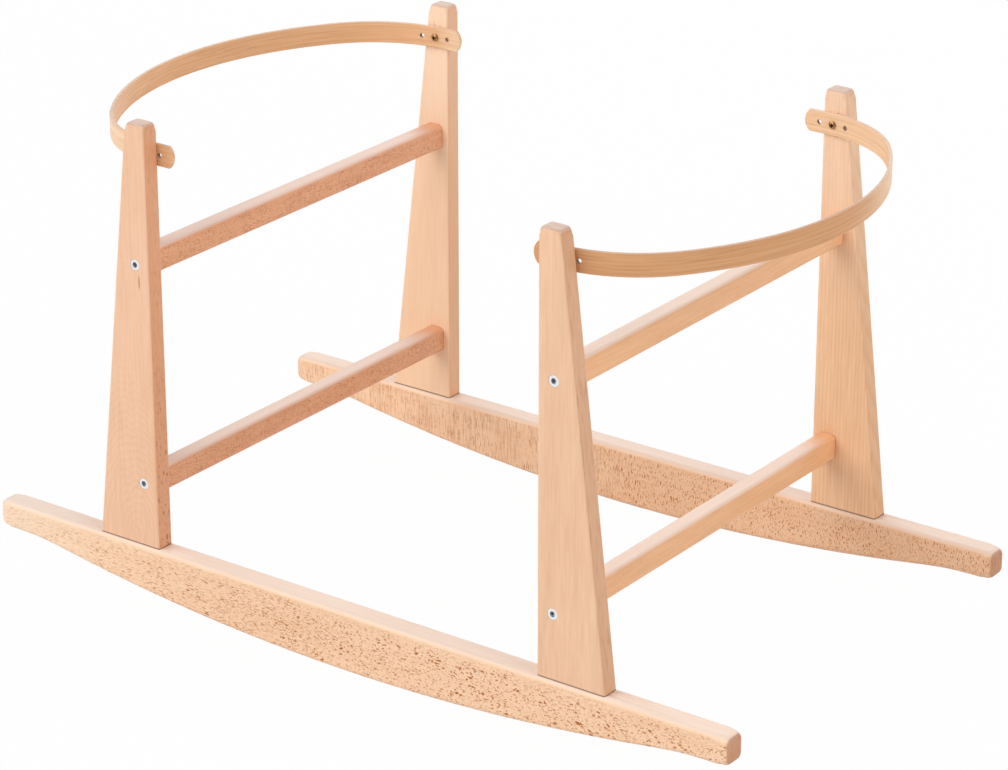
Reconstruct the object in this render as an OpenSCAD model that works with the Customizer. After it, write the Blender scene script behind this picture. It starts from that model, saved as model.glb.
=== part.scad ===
// Rocking stand for a moses basket: two rockers, four tapered posts, four rails and two bentwood hoops.
// Millimetres, +Z up, X along the rockers. The origin is on the floor, at the middle of the stand.

/* [Rockers] */
// Width of the stand over the outer faces of the rockers
stand_w = 460; // [420:1:520]
// Length of a rocker
rocker_l = 807; // [760:1:900]
// Thickness of a rocker
rocker_t = 24; // [20:1:32]
// Height of a rocker at its middle
rocker_h = 58; // [50:1:75]
// Radius of the rolling arc
rocker_r = 2050; // [1700:10:2600]
// Height of a rocker at its tips
rocker_tip_h = 27; // [20:1:32]
// Radius of the hollow between the rolling arc and a tip
tip_hollow_r = 280; // [230:10:340]
// Rounding of a rocker's long edges
rocker_edge_r = 5; // [2:0.5:7]
// Rounding of a rocker's ends, in side view and in plan
rocker_end_r = 7; // [3:0.5:9]

/* [Posts] */
// Clear distance between the inner edges of the left and right posts
post_gap = 418; // [360:1:450]
// Width of a post at its foot
post_foot_w = 70; // [60:1:85]
// Width of a post at its top
post_top_w = 22; // [20:1:40]
// Thickness of a post
post_t = 18; // [15:0.5:22]
// Height of a post above its rocker
post_h = 402; // [360:1:460]
// Rounding of a post's upright and slanted edges
post_edge_r = 2.5; // [1:0.5:4]
// Rounding of a post's top
post_top_r = 3; // [2:0.5:7]

/* [Rails] */
// Width of a rail
rail_w = 18; // [15:0.5:24]
// Height of a rail
rail_h = 24; // [20:0.5:30]
// Rounding of a rail's long edges
rail_edge_r = 4; // [1:0.5:6]
// Distance of a rail's centre line from the posts' inner edges
rail_inset = 16; // [13:0.5:20]
// Height of the lower rails' centre lines above the rockers
lower_rail_z = 61; // [50:1:100]
// Height of the upper rails' centre lines above the rockers
upper_rail_z = 271; // [230:1:290]

/* [Hoops] */
// Thickness of a hoop's strip
hoop_t = 3.2; // [2.5:0.1:4]
// Width of a hoop's strip
hoop_w = 20.5; // [18:0.5:26]
// Rounding of the strip's edges
hoop_edge_r = 0.8; // [0.4:0.1:1.2]
// Distance of a hoop's centre line below the posts' tops
hoop_drop = 31; // [26:1:60]
// Distance that a hoop bows out past the posts' inner edges, to its inner face
hoop_bow = 148; // [135:1:175]
// Bend radius of a hoop next to the posts, at its inner face
hoop_corner_r = 114; // [90:1:125]
// Straight length of a hoop that bears on a post
hoop_seat_l = 3; // [2:0.5:8]
// Distance of a hoop's screw from the post's inner edge
hoop_screw_inset = 12; // [9:0.5:14]
// Distance between the holes at a hoop's end
hoop_hole_pitch = 14; // [10:0.5:16]
// Diameter of the holes at a hoop's end
hoop_hole_d = 4.5; // [4:0.1:5.5]
// Distance of the last hole from a hoop's tip
hoop_tail_l = 15; // [10:0.5:20]
// Radius of a hoop's rounded tip
hoop_tip_r = 13; // [12.5:0.5:16]

/* [Rail bolts and barrel nuts] */
// Diameter of a rail bolt's shank
bolt_d = 6; // [5:0.5:6.5]
// Diameter of a rail bolt's head
bolt_head_d = 10; // [9:0.5:12]
// Height of a rail bolt's head
bolt_head_h = 6; // [4:0.5:8]
// Depth of a bolt head below the face of its post
bolt_sink = 0.3; // [0.2:0.1:1]
// Width across the flats of the hexagon socket
socket_af = 5; // [4:0.5:6]
// Depth of the hexagon socket
socket_depth = 3; // [2:0.5:3.5]
// Length of a bolt inside its rail
bolt_reach = 38; // [37:1:50]
// Diameter of a barrel nut
nut_d = 10; // [8:0.5:12]
// Length of a barrel nut
nut_l = 14; // [11:0.5:17]
// Distance of a barrel nut's axis from the end of its rail
nut_setback = 30; // [22:1:32]
// Width and depth of the slot in a barrel nut's end
nut_slot = 1.2; // [0.8:0.1:1.6]

/* [Dowels and hoop screws] */
// Diameter of a dowel
dowel_d = 8; // [6:0.5:10]
// Length of a dowel
dowel_l = 40; // [30:1:44]
// Chamfer of a dowel's ends
dowel_chamfer = 1; // [0.5:0.1:1.5]
// Distance of a post's dowels from its inner edge and from its outer edge at the foot
dowel_inset = 18; // [15:0.5:22]
// Diameter of a hoop screw's shank
screw_d = 3.6; // [3:0.1:3.8]
// Length of a hoop screw below its head
screw_l = 16; // [12:0.5:18]
// Diameter of a hoop screw's head
screw_head_d = 7.2; // [6.5:0.1:9]
// Height of a hoop screw's head
screw_head_h = 2.4; // [2:0.1:3]
// Height of the domed part of a hoop screw's head
screw_dome_h = 1.6; // [1:0.1:1.9]
// Width of the cross recess in a hoop screw's head
screw_cross_w = 1.1; // [0.8:0.1:1.3]
// Length of the cross recess
screw_cross_l = 4.2; // [3:0.1:5]
// Depth of the cross recess
screw_cross_depth = 1.2; // [0.8:0.1:1.5]

/* [Hidden] */
// Play on the diameter of a hole round its fastener
hole_play = 0.4;
// Play on the diameter of a hole round a dowel, a thread or a barrel nut
snug_play = 0.1;
// Play past the end of a fastener in its blind hole
depth_play = 1;
// How far a cut runs past the surface that it opens
overrun = 2;
// How much slimmer a hoop's crown and ends are than the bends that they run into, too little to see
seam_step = 0.02;
// How far a hoop's crown and ends run into the bends
seam_reach = 1;
// How much lower a rocker's hollows lie than the stretches beside them, too little to see
hollow_step = 0.1;
// How far a rocker's rolling arc and tips run into the hollows
hollow_reach = 3;
// Sides of a full circle: of the small curves, and of the rockers' wide arcs
curve_fn = 96;
wide_fn = 1080;
$fn = curve_fn;

// Places that several pieces share, in the quarter with x and y above zero
post_outer_y = stand_w / 2 - (rocker_t - post_t) / 2;
post_inner_y = post_outer_y - post_t;
post_x = post_gap / 2;
post_top_z = rocker_h + post_h;
rail_x = post_x + rail_inset;
rail_l = 2 * post_inner_y;
rail_zs = [rocker_h + lower_rail_z, rocker_h + upper_rail_z];
hoop_z = post_top_z - hoop_drop;
hoop_screw_x = post_x + hoop_screw_inset;
hoop_hole_xs = [for (i = [-1:1]) hoop_screw_x + i * hoop_hole_pitch];
hoop_tip_x = hoop_hole_xs[0] - hoop_tail_l;
dowel_xs = [post_x + dowel_inset, post_x + post_foot_w - dowel_inset];
dowel_hole_l = dowel_l / 2 + depth_play;
post_lean = atan((post_foot_w - post_top_w) / post_h);
rocker_y = (stand_w - rocker_t) / 2;
bolt_seat_y = post_outer_y - bolt_sink - bolt_head_h;

// The rolling arc leads into the hollow, and the hollow into the tip, without a kink
tip_bottom_z = rocker_h - rocker_tip_h;
hollow_x = sqrt(tip_bottom_z * (2 * (rocker_r + tip_hollow_r) - tip_bottom_z));
hollow_turn = asin(hollow_x / (rocker_r + tip_hollow_r));

// A hoop is a wide arc at its crown between two tighter arcs at the posts
hoop_inner_y = post_inner_y - hoop_t;
hoop_bend_x = post_x + hoop_seat_l;
hoop_bend_y = hoop_inner_y - hoop_corner_r;
hoop_rise = hoop_bow - hoop_seat_l - hoop_corner_r;
hoop_crown_turn = 2 * atan(hoop_rise / hoop_bend_y);
hoop_crown_r = hoop_bend_y / sin(hoop_crown_turn) + hoop_corner_r;
hoop_crown_x = post_x + hoop_bow - hoop_crown_r;

// A hoop screw's head bears on the strip where the bend has drawn it furthest in under the head
screw_seat_x = hoop_screw_x + screw_head_d / 2 - hoop_bend_x;
screw_seat_y = hoop_bend_y + sqrt(pow(hoop_corner_r, 2) - pow(max(screw_seat_x, 0), 2));
screw_tip_y = screw_seat_y + screw_l;

rocker_color = "#f0bf94";
post_color = "#efc69f";
rail_color = "#eab88c";
hoop_color = "#dda577";
dowel_color = "#e8c9a4";
zinc_color = "#b9bcc0";
bronze_color = "#8a6a3c";

// Puts a shape of the quarter with x and y above zero at the side of the stand that the signs name
module at_quarter(side_x, side_y) {
    mirror([side_x < 0 ? 1 : 0, 0, 0])
        mirror([0, side_y < 0 ? 1 : 0, 0])
            children();
}

// Rectangle with four rounded corners, centred
module rounded_rect(w, h, r) {
    square([w - 2 * r, h], center = true);
    square([w, h - 2 * r], center = true);
    for (x = [-1, 1], y = [-1, 1])
        translate([x * (w / 2 - r), y * (h / 2 - r)])
            circle(r, $fn = curve_fn);
}

// Rectangle on the first axis, centred across it, with its two upper corners rounded
module top_rounded_rect(w, h, r) {
    translate([-w / 2, 0])
        square([w, h - r]);
    translate([r - w / 2, 0])
        square([w - 2 * r, h]);
    for (x = [-1, 1])
        translate([x * (w / 2 - r), h - r])
            circle(r, $fn = curve_fn);
}

// Turns an outline drawn in X and Z into a bar along Y, centred
module bar_along_y(l) {
    rotate([90, 0, 0])
        translate([0, 0, -l / 2])
            linear_extrude(l)
                children();
}

// Turns an outline drawn in Y and Z into a bar along X, centred
module bar_along_x(l) {
    rotate([90, 0, 90])
        translate([0, 0, -l / 2])
            linear_extrude(l)
                children();
}

// Lower edge of a rocker over its rolling arc: a slice of a disc with a rounded rim
module rolling_slice() {
    turn = hollow_turn + asin(hollow_reach / rocker_r);
    translate([0, 0, rocker_r])
        rotate([90, 0, 0])
            rotate([0, 0, -90 - turn])
                rotate_extrude(angle = 2 * turn, $fn = wide_fn)
                    translate([rocker_r - rocker_h - overrun, 0])
                        rotate([0, 0, -90])
                            top_rounded_rect(rocker_t, rocker_h + overrun, rocker_edge_r);
}

// Lower edge of a rocker over the hollow at its right end: a slice of a ring
module hollow_slice() {
    translate([hollow_x, 0, tip_bottom_z - tip_hollow_r])
        rotate([90, 0, 0])
            rotate([0, 0, 90])
                rotate_extrude(angle = hollow_turn, $fn = wide_fn)
                    translate([tip_hollow_r - hollow_step + rocker_h, 0])
                        rotate([0, 0, 90])
                            top_rounded_rect(rocker_t, rocker_h, rocker_edge_r);
}

// Lower edge of a rocker over its right tip, which runs past the end
module tip_slice() {
    l = max(rocker_l / 2 - hollow_x, 0) + hollow_reach + overrun;
    translate([hollow_x - hollow_reach, 0, tip_bottom_z])
        rotate([90, 0, 90])
            translate([0, rocker_h])
                rotate([0, 0, 180])
                    linear_extrude(l)
                        top_rounded_rect(rocker_t, rocker_h, rocker_edge_r);
}

// Side view of a rocker's ends, with rounded corners
module rocker_side() {
    translate([0, rocker_h - rocker_tip_h / 2])
        rounded_rect(rocker_l, rocker_tip_h, rocker_end_r);
    translate([rocker_end_r - rocker_l / 2, -overrun])
        square([rocker_l - 2 * rocker_end_r, rocker_h - rocker_end_r + overrun]);
}

// A rocker at the middle of the stand, with a socket for each dowel
module rocker() {
    difference() {
        intersection() {
            union() {
                rolling_slice();
                for (side = [-1, 1])
                    at_quarter(side, 1) {
                        hollow_slice();
                        tip_slice();
                    }
            }
            translate([0, 0, -overrun])
                bar_along_x(rocker_l + 2 * overrun)
                    top_rounded_rect(rocker_t, rocker_h + overrun, rocker_edge_r);
            bar_along_y(rocker_t + 2 * overrun)
                rocker_side();
            translate([0, 0, -overrun])
                linear_extrude(rocker_h + 2 * overrun)
                    rounded_rect(rocker_l, rocker_t, rocker_end_r);
        }
        for (side = [-1, 1], x = dowel_xs)
            translate([side * x, 0, rocker_h - dowel_hole_l])
                cylinder(d = dowel_d + snug_play, h = dowel_hole_l + overrun);
    }
}

// Front view of a post from its upright inner edge outwards, with rounded top corners
module post_front() {
    slope_in = sin(post_lean);
    slope_up = cos(post_lean);
    corner_x = post_top_w - post_top_r * (1 - slope_in) / slope_up;
    polygon([
        [0, 0],
        [post_foot_w, 0],
        [corner_x + post_top_r * slope_up, post_h - post_top_r * (1 - slope_in)],
        [corner_x, post_h],
        [post_top_r, post_h],
        [0, post_h - post_top_r]
    ]);
    for (x = [post_top_r, corner_x])
        translate([x, post_h - post_top_r])
            circle(post_top_r);
}

// Plan of a post's edge at zero, rounded there and running on to the right
module edge_plan(w, r) {
    translate([r, -post_t / 2])
        square([w - r, post_t]);
    translate([0, r - post_t / 2])
        square([w, post_t - 2 * r]);
    for (y = [-1, 1])
        translate([r, y * (post_t / 2 - r)])
            circle(r, $fn = curve_fn);
}

// A post with its foot at zero height, its inner edge at zero and its thickness centred on zero
module post_blank() {
    intersection() {
        bar_along_y(post_t + 2 * overrun)
            post_front();
        translate([post_foot_w / 2, 0, -overrun])
            bar_along_x(post_foot_w + 2 * overrun)
                top_rounded_rect(post_t, post_h + overrun, post_top_r);
        translate([0, 0, -overrun])
            linear_extrude(post_h + 2 * overrun)
                edge_plan(post_foot_w + overrun, post_edge_r);
        translate([post_foot_w, 0, 0])
            rotate([0, -post_lean, 0])
                translate([0, 0, -post_foot_w])
                    mirror([1, 0, 0])
                        linear_extrude(post_h + 2 * post_foot_w)
                            edge_plan(2 * post_foot_w, post_edge_r);
    }
}

// A hole along Y whose axis is at the height z, from y_from to y_to
module hole_along_y(x, z, d, y_from, y_to) {
    translate([x, y_from, z])
        rotate([-90, 0, 0])
            cylinder(d = d, h = y_to - y_from);
}

// The rear right post in its place, drilled for the rail bolts, the hoop screw and the dowels
module post() {
    difference() {
        translate([post_x, post_outer_y - post_t / 2, rocker_h])
            post_blank();
        for (z = rail_zs) {
            hole_along_y(rail_x, z, bolt_d + hole_play, post_inner_y - overrun, post_outer_y + overrun);
            hole_along_y(rail_x, z, bolt_head_d + hole_play, bolt_seat_y, post_outer_y + overrun);
        }
        hole_along_y(hoop_screw_x, hoop_z, screw_d + snug_play, post_inner_y - overrun, screw_tip_y + depth_play);
        for (x = dowel_xs)
            translate([x, post_outer_y - post_t / 2, rocker_h - overrun])
                cylinder(d = dowel_d + snug_play, h = dowel_hole_l + overrun);
    }
}

// The right rail at a height, drilled at both ends for a bolt along it and a barrel nut from below
module rail(z) {
    difference() {
        translate([rail_x, 0, z])
            bar_along_y(rail_l)
                rounded_rect(rail_w, rail_h, rail_edge_r);
        for (side = [-1, 1])
            at_quarter(1, side) {
                hole_along_y(rail_x, z, bolt_d + hole_play,
                             post_inner_y - bolt_reach - depth_play, post_inner_y + overrun);
                translate([rail_x, post_inner_y - nut_setback, z - rail_h / 2 - overrun])
                    cylinder(d = nut_d + snug_play, h = rail_h / 2 + nut_l / 2 + overrun);
            }
    }
}

// A bolt that runs in from the rear right post's outer face at a height
module rail_bolt(z) {
    difference() {
        union() {
            hole_along_y(rail_x, z, bolt_head_d, bolt_seat_y, bolt_seat_y + bolt_head_h);
            hole_along_y(rail_x, z, bolt_d, post_inner_y - bolt_reach, bolt_seat_y);
        }
        translate([rail_x, bolt_seat_y + bolt_head_h - socket_depth, z])
            rotate([-90, 0, 0])
                cylinder(d = socket_af / cos(30), h = socket_depth + overrun, $fn = 6);
    }
}

// The barrel nut at the rear end of the right rail at a height, with a slot in its lower end
module barrel_nut(z) {
    difference() {
        translate([rail_x, post_inner_y - nut_setback, z - nut_l / 2])
            difference() {
                cylinder(d = nut_d, h = nut_l);
                translate([-nut_slot / 2, -nut_d / 2 - overrun, -overrun])
                    cube([nut_slot, nut_d + 2 * overrun, nut_slot + overrun]);
            }
        hole_along_y(rail_x, z, bolt_d + snug_play,
                     post_inner_y - nut_setback - nut_d, post_inner_y - nut_setback + nut_d);
    }
}

// A dowel at the rear right post's foot, half in the post and half in the rocker
module post_dowel(x) {
    translate([x, post_outer_y - post_t / 2, rocker_h]) {
        translate([0, 0, dowel_chamfer - dowel_l / 2])
            cylinder(d = dowel_d, h = dowel_l - 2 * dowel_chamfer);
        for (end = [0, 1])
            mirror([0, 0, end])
                translate([0, 0, dowel_l / 2 - dowel_chamfer])
                    cylinder(d1 = dowel_d, d2 = dowel_d - 2 * dowel_chamfer, h = dowel_chamfer);
    }
}

// Section of the hoop's strip, slimmer on every side by a step
module strip_section(step) {
    rounded_rect(hoop_t - 2 * step, hoop_w - 2 * step, hoop_edge_r);
}

// A sweep of the hoop's strip about a centre in plan, from an angle through a turn
module strip_arc(center, inner_r, from, turn, step) {
    translate([center[0], center[1], hoop_z])
        rotate([0, 0, from])
            rotate_extrude(angle = turn)
                translate([inner_r + hoop_t / 2, 0])
                    strip_section(step);
}

// The straight end of the hoop's strip at the rear right post, with its rounded tip
module strip_end() {
    l = hoop_bend_x - hoop_tip_x + seam_reach;
    translate([hoop_tip_x, hoop_inner_y + hoop_t / 2, hoop_z])
        intersection() {
            rotate([90, 0, 90])
                linear_extrude(l)
                    strip_section(seam_step);
            bar_along_y(hoop_t + 2 * overrun) {
                translate([hoop_tip_r, 0])
                    circle(hoop_tip_r);
                translate([hoop_tip_r, -hoop_w])
                    square([l, 2 * hoop_w]);
            }
        }
}

// The right hoop, with its row of holes at each end
module hoop() {
    half_turn = hoop_crown_turn + asin(seam_reach / hoop_crown_r);
    difference() {
        union() {
            strip_arc([hoop_crown_x, 0], hoop_crown_r, -half_turn, 2 * half_turn, seam_step);
            for (side = [-1, 1])
                at_quarter(1, side) {
                    strip_arc([hoop_bend_x, hoop_bend_y], hoop_corner_r, hoop_crown_turn, 90 - hoop_crown_turn, 0);
                    strip_end();
                }
        }
        for (side = [-1, 1], x = hoop_hole_xs)
            at_quarter(1, side)
                hole_along_y(x, hoop_z, hoop_hole_d, hoop_inner_y - hoop_corner_r / 2, post_inner_y + overrun);
    }
}

// A round-head screw that holds the right hoop to the rear right post
module hoop_screw() {
    dome_r = (pow(screw_head_d / 2, 2) + pow(screw_dome_h, 2)) / (2 * screw_dome_h);
    hole_along_y(hoop_screw_x, hoop_z, screw_d, screw_seat_y, screw_tip_y);
    translate([hoop_screw_x, screw_seat_y, hoop_z])
        rotate([90, 0, 0])
            difference() {
                intersection() {
                    cylinder(d = screw_head_d, h = screw_head_h);
                    translate([0, 0, screw_head_h - dome_r])
                        sphere(dome_r);
                }
                for (turn = [0, 90])
                    rotate([0, 0, turn])
                        translate([-screw_cross_l / 2, -screw_cross_w / 2, screw_head_h - screw_cross_depth])
                            cube([screw_cross_l, screw_cross_w, screw_cross_depth + overrun]);
            }
}

module front_rocker() {
    color(rocker_color)
        translate([0, -rocker_y, 0])
            rocker();
}

module rear_rocker() {
    color(rocker_color)
        translate([0, rocker_y, 0])
            rocker();
}

module post_at(side_x, side_y) {
    color(post_color)
        at_quarter(side_x, side_y)
            post();
}

module rail_at(side_x, z) {
    color(rail_color)
        at_quarter(side_x, 1)
            rail(z);
}

module hoop_at(side_x) {
    color(hoop_color)
        at_quarter(side_x, 1)
            hoop();
}

module rail_bolts_at(side_x, side_y) {
    color(zinc_color)
        for (z = rail_zs)
            at_quarter(side_x, side_y)
                rail_bolt(z);
}

module barrel_nuts_at(side_x, z) {
    color(zinc_color)
        for (side_y = [-1, 1])
            at_quarter(side_x, side_y)
                barrel_nut(z);
}

module post_dowels_at(side_x, side_y) {
    color(dowel_color)
        for (x = dowel_xs)
            at_quarter(side_x, side_y)
                post_dowel(x);
}

module hoop_screws_at(side_x) {
    color(bronze_color)
        for (side_y = [-1, 1])
            at_quarter(side_x, side_y)
                hoop_screw();
}

front_rocker();
rear_rocker();
post_at(-1, -1);  // front_left_post
post_at(1, -1);  // front_right_post
post_at(-1, 1);  // rear_left_post
post_at(1, 1);  // rear_right_post
rail_at(-1, rail_zs[0]);  // left_lower_rail
rail_at(1, rail_zs[0]);  // right_lower_rail
rail_at(-1, rail_zs[1]);  // left_upper_rail
rail_at(1, rail_zs[1]);  // right_upper_rail
hoop_at(-1);  // left_hoop
hoop_at(1);  // right_hoop
rail_bolts_at(-1, -1);  // front_left_rail_bolts
rail_bolts_at(1, -1);  // front_right_rail_bolts
rail_bolts_at(-1, 1);  // rear_left_rail_bolts
rail_bolts_at(1, 1);  // rear_right_rail_bolts
barrel_nuts_at(-1, rail_zs[0]);  // left_lower_barrel_nuts
barrel_nuts_at(1, rail_zs[0]);  // right_lower_barrel_nuts
barrel_nuts_at(-1, rail_zs[1]);  // left_upper_barrel_nuts
barrel_nuts_at(1, rail_zs[1]);  // right_upper_barrel_nuts
post_dowels_at(-1, -1);  // front_left_post_dowels
post_dowels_at(1, -1);  // front_right_post_dowels
post_dowels_at(-1, 1);  // rear_left_post_dowels
post_dowels_at(1, 1);  // rear_right_post_dowels
hoop_screws_at(-1);  // left_hoop_screws
hoop_screws_at(1);  // right_hoop_screws
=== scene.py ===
# %% [markdown]
# # A rocking stand for a moses basket, in beech
# Two curved rockers carry four tapered posts. Two rails at each end tie the posts together, and a bent hoop
# at each end, screwed inside the post tops, keeps the basket from sliding off. The solids come from the
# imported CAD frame, in metres, so every piece is already in its place, and this lesson dresses it in wood or
# metal. Most solids keep their meshes, because only the finish is missing. The posts and the rockers are
# shown by copies of theirs with softer ends.

# %% Load the frame
import math

import bmesh
import bpy
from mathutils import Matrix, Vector


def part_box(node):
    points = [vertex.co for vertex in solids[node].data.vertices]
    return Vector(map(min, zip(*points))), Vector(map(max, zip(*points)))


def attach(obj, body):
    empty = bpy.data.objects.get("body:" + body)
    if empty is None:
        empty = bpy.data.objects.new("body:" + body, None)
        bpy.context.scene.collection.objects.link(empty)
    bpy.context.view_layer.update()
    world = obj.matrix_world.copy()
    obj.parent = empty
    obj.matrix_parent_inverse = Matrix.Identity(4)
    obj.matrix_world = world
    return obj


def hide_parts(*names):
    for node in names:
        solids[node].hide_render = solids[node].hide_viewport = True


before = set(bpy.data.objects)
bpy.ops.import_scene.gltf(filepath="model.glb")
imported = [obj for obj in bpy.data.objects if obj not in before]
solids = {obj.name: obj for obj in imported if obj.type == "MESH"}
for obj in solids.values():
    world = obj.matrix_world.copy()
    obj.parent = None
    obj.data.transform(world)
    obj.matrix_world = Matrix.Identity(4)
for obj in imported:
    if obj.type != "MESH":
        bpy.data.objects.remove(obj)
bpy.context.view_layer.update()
scene = bpy.context.scene
scene.view_settings.view_transform = "Standard"


def rounded_off(point):
    return tuple(round(v, 3) for v in point)


# %% [markdown]
# ## Camera
# The viewing angle was found by fitting known corners of the stand to the photograph: a long lens, 36 degrees
# round to the right, looking down at 22.6 degrees. A long lens is why far and near rails look almost parallel.

# %% Camera
PHOTO_W, FOCAL_PIXELS = 1008, 3702
SENSOR_MM, CLIP_END = 36, 50
AZIMUTH, ELEVATION, DISTANCE = math.radians(36.09), math.radians(22.64), 3.342
TARGET = Vector((0.0062, 0.0051, 0.1938))
back = Vector((
    math.sin(AZIMUTH) * math.cos(ELEVATION),
    -math.cos(AZIMUTH) * math.cos(ELEVATION),
    math.sin(ELEVATION),
))
camera = bpy.data.objects.new("camera", bpy.data.cameras.new("camera"))
scene.collection.objects.link(camera)
camera.data.sensor_fit = "HORIZONTAL"
camera.data.sensor_width = SENSOR_MM
camera.data.lens = FOCAL_PIXELS / PHOTO_W * SENSOR_MM
camera.data.clip_end = CLIP_END
camera.location = TARGET + DISTANCE * back
camera.rotation_euler = (-back).to_track_quat("-Z", "Y").to_euler()
scene.camera = camera
print("camera at", rounded_off(camera.location), "lens", round(camera.data.lens, 1))

# %% [markdown]
# ## Softer ends
# On the real stand, the tops of the posts and the tips of the rockers were sanded by hand, and are rounder
# than the solids' even roundings. A bevel can't widen an edge that is already rounded, so each of these pieces
# gets a copy of its solid's mesh, with all its holes, cut into fine slices near the end. Each point there that
# stands outside a rounder block is pulled straight in to that block's surface. The block's corner radius grows
# smoothly towards the end, so the edges run out without a step.

# %% Rounder block
def eased(value, low, high):
    share = min(max((value - low) / (high - low), 0.0), 1.0)
    return share * share * (3 - 2 * share)


def pull_in(point, low, high, radius):
    core = Vector([min(max(p, a + radius), b - radius) for p, a, b in zip(point, low, high)])
    out = point - core
    return core + out * (radius / out.length) if out.length > radius else point


print("halfway, eased:", eased(0.5, 0.0, 1.0))

# %% Slices
WELD = 1e-6
STEPS = (0.0008, 0.0017, 0.0027, 0.0038, 0.0050, 0.0065, 0.0085)


def from_both(first, last):
    inward = math.copysign(1, last - first)
    return [first + inward * d for d in STEPS] + [last - inward * d for d in STEPS]


def slice_end(cage, is_near, axis, places):
    normal = Vector([float(i == axis) for i in range(3)])
    for place in places:
        faces = [f for f in cage.faces if all(is_near(v.co) for v in f.verts)]
        parts = dict.fromkeys(p for f in faces for p in (*f.verts, *f.edges, f))
        bmesh.ops.bisect_plane(cage, geom=list(parts), dist=WELD, plane_co=normal * place, plane_no=normal)


print("cuts from each side:", len(STEPS), "the deepest at", STEPS[-1])

# %% Softened copy
SHARP_ANGLE = math.radians(30)
softened_pieces = {}


def softened(node, is_near, first_cuts, slices, reshape):
    cage = bmesh.new()
    cage.from_mesh(solids[node].data)
    bmesh.ops.remove_doubles(cage, verts=cage.verts[:], dist=WELD)
    for axis, place in first_cuts:
        slice_end(cage, lambda point: True, axis, [place])
    for axis, places in slices:
        slice_end(cage, is_near, axis, places)
    for vertex in cage.verts:
        if is_near(vertex.co):
            vertex.co = reshape(vertex.co)
    bmesh.ops.triangulate(cage, faces=cage.faces[:])
    mesh = bpy.data.meshes.new(node + "_softened")
    cage.to_mesh(mesh)
    cage.free()
    mesh.shade_smooth()
    mesh.set_sharp_from_angle(angle=SHARP_ANGLE)
    piece = bpy.data.objects.new(node + "_softened", mesh)
    scene.collection.objects.link(piece)
    weighted = piece.modifiers.new("weighted_normals", "WEIGHTED_NORMAL")
    weighted.keep_sharp = True
    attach(piece, "root")
    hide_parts(node)
    softened_pieces[node] = piece
    print(piece.name, len(mesh.polygons), "faces")


# %% [markdown]
# ## Post tops
# A post is 22 mm wide at its top. Its inner edge is upright and its outer edge slants, so the rounder block
# follows both: it widens downwards as the post does. Only the last 9 mm change.

# %% Post tops
POST_TOP_W, POST_SPREAD, POST_H = 0.022, 0.048, 0.402
POST_TOP_R, POST_EDGE_R, POST_BLEND = 0.0048, 0.0025, 0.009
POST_SLICES = (0.0075, *STEPS[-2::-1])


def soften_post(node):
    low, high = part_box(node)
    left = low.x < 0
    inner_x, outer_x = (high.x, high.x - POST_TOP_W) if left else (low.x, low.x + POST_TOP_W)

    def is_near(point):
        return point.z > high.z - POST_BLEND - WELD

    def round_top(point):
        spread = (high.z - point.z) * (POST_SPREAD / POST_H)
        sides = (outer_x - spread, inner_x) if left else (inner_x, outer_x + spread)
        grown = eased(point.z, high.z - POST_BLEND, high.z - POST_TOP_R)
        radius = POST_EDGE_R + (POST_TOP_R - POST_EDGE_R) * grown
        top = high.z - POST_TOP_R + radius
        return pull_in(point, (sides[0], low.y, low.z), (sides[1], high.y, top), radius)

    heights = [high.z - d for d in POST_SLICES]
    slices = [(2, heights), (0, from_both(*sorted((inner_x, outer_x)))), (1, from_both(low.y, high.y))]
    softened(node, is_near, [(2, high.z - POST_BLEND)], slices, round_top)


for post in [n for n in solids if n.endswith("_post")]:
    soften_post(post)

# %% [markdown]
# ## Rocker tips
# Each rocker ends in two blunt, upturned tips, 27 mm high, that are round on every side. One block as long as
# the rocker serves both, because the rocker is the same at either end.

# %% Rocker tips
TIP_R, ROCKER_EDGE_R, TIP_BLEND, TIP_H = 0.0075, 0.005, 0.014, 0.027
TIP_SLICES = (0.0125, 0.0112, 0.0098, *STEPS[::-1])


def soften_rocker(node):
    low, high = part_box(node)

    def is_near(point):
        return abs(point.x) > high.x - TIP_BLEND - WELD

    def round_tip(point):
        grown = eased(abs(point.x), high.x - TIP_BLEND, high.x - TIP_R)
        radius = ROCKER_EDGE_R + (TIP_R - ROCKER_EDGE_R) * grown
        reach = high.x - TIP_R + radius
        return pull_in(point, (-reach, low.y, high.z - TIP_H), (reach, high.y, high.z), radius)

    first_cuts = [(0, end * (high.x - TIP_BLEND)) for end in (-1, 1)]
    lengths = [end * (high.x - d) for end in (-1, 1) for d in TIP_SLICES]
    slices = [(0, lengths), (1, from_both(low.y, high.y)), (2, from_both(high.z, high.z - TIP_H))]
    softened(node, is_near, first_cuts, slices, round_tip)


for rocker in ("front_rocker", "rear_rocker"):
    soften_rocker(rocker)

# %% [markdown]
# ## Small helpers for node trees
# Every finish below is a web of nodes. `wire` makes one node, sets its plain settings and plugs its inputs,
# where an input is either a number or another node's output. The others are short names for the nodes that
# are used most, so each recipe keeps to about a line a node.

# %% Node helpers
# A Mix node has sockets for every kind of value. These are the ones for colours.
FACTOR, COLOR_A, COLOR_B, COLOR_OUT = 0, 6, 7, 2


def wire(tree, kind, inputs=None, **settings):
    node = tree.nodes.new(kind)
    for key, value in settings.items():
        setattr(node, key, value)
    for key, value in (inputs or {}).items():
        socket = node.inputs[key]
        if isinstance(value, bpy.types.NodeSocket):
            tree.links.new(value, socket)
        else:
            socket.default_value = value
    return node


def maths(tree, operation, a, b=0.0, c=0.0):
    return wire(tree, "ShaderNodeMath", {0: a, 1: b, 2: c}, operation=operation).outputs[0]


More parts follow.
